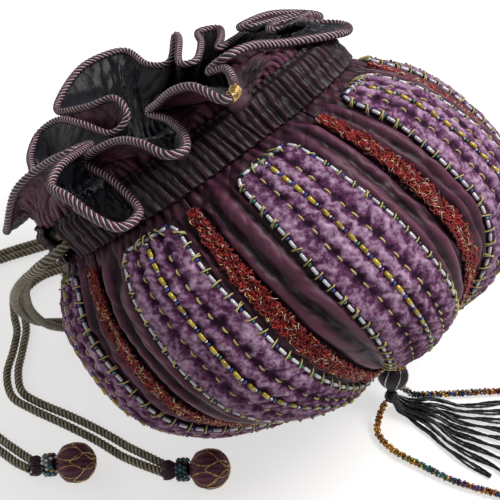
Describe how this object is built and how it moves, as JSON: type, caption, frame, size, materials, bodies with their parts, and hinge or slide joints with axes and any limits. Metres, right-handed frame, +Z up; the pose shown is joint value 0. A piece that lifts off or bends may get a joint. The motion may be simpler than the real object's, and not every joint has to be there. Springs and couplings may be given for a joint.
{
  "type": "drawstring dice bag",
  "caption": "Melon-shaped drawstring pouch of gathered silk on its side, with beaded velvet strips, boucle trims, a frilled mouth, doubled cords ending in balls, and a base tassel",
  "frame": {"origin": "On the table, under the middle of the bag and its tassel (the drawstring tails left out)", "axes": "+Z up; +X along the bag, from the mouth to the tassel; the drawstring balls lie on the -Y side"},
  "size_m": [0.2645, 0.2051, 0.1726],
  "materials": {
    "silk": "gathered silk with a soft sheen",
    "velvet": "short pile, quilted",
    "boucle": "looped metallic yarn",
    "satin": "smooth satin",
    "drawstring": "twisted cord with a bronze sheen",
    "edge_cord": "two-colour twisted cord",
    "ball_silk": "silk with metallic embroidery",
    "dark_beads": "lustred seed beads",
    "gold_beads": "metallic gold seed beads",
    "mixed_beads": "threaded gold and blue beads",
    "black_thread": "satin thread"
  },
  "bodies": {
    "bag": {"silk_gore_1": "silk", "silk_gore_2": "silk", "silk_gore_3": "silk", "silk_gore_4": "silk", "silk_gore_5": "silk", "silk_gore_6": "silk", "silk_gore_7": "silk", "silk_gore_8": "silk", "silk_gore_9": "silk", "velvet_strip_1": "velvet", "velvet_strip_2": "velvet", "velvet_strip_3": "velvet", "velvet_strip_4": "velvet", "velvet_strip_5": "velvet", "velvet_strip_6": "velvet", "velvet_strip_7": "velvet", "velvet_strip_8": "velvet", "velvet_strip_9": "velvet", "boucle_trim_1": "boucle", "boucle_trim_2": "boucle", "boucle_trim_3": "boucle", "boucle_trim_4": "boucle", "boucle_trim_5": "boucle", "boucle_trim_6": "boucle", "boucle_trim_7": "boucle", "boucle_trim_8": "boucle", "boucle_trim_9": "boucle", "bag_lining": "satin", "base_cap": "silk", "base_loop": "black_thread", "casing_upper": "silk", "casing_lower": "silk", "casing_lining": "satin", "frill": "silk", "frill_lining": "satin", "rim_cord": "edge_cord", "drawstring_a": "drawstring", "drawstring_b": "drawstring", "tail_a_inner": "drawstring", "tail_a_outer": "drawstring", "tail_b_inner": "drawstring", "tail_b_outer": "drawstring"},
    "pull_a": {"end_a_inner": "drawstring", "end_a_outer": "drawstring", "tuft_a": "ball_silk", "bead_collar_a": "dark_beads", "ball_a": "ball_silk"},
    "pull_b": {"end_b_inner": "drawstring", "end_b_outer": "drawstring", "tuft_b": "ball_silk", "bead_collar_b": "dark_beads", "ball_b": "ball_silk"},
    "tassel_link": {"tassel_ring": "gold_beads"},
    "tassel": {"tassel_ball": "black_thread", "tassel_knot": "black_thread", "tassel_skirt": "black_thread", "bead_strand_1": "mixed_beads", "bead_strand_2": "mixed_beads"}
  },
  "joints": [
    {"name": "drawstring_a_pull", "type": "slide", "parent": "bag", "child": "pull_a", "axis": [0.976, 0.218, 0], "range_m": [0, 0.015]},
    {"name": "drawstring_b_pull", "type": "slide", "parent": "bag", "child": "pull_b", "axis": [1, 0, 0], "range_m": [0, 0.015]},
    {"name": "tassel_lift", "type": "hinge", "parent": "bag", "child": "tassel_link", "pos_m": [0.04283, 0.01016, 0.02755], "axis": [0, -1, 0], "range_deg": [0, 25]},
    {"name": "tassel_sweep", "type": "hinge", "parent": "tassel_link", "child": "tassel", "pos_m": [0.04283, 0.01016, 0.02615], "axis": [0, 0, 1], "range_deg": [-25, 25]}
  ]
}
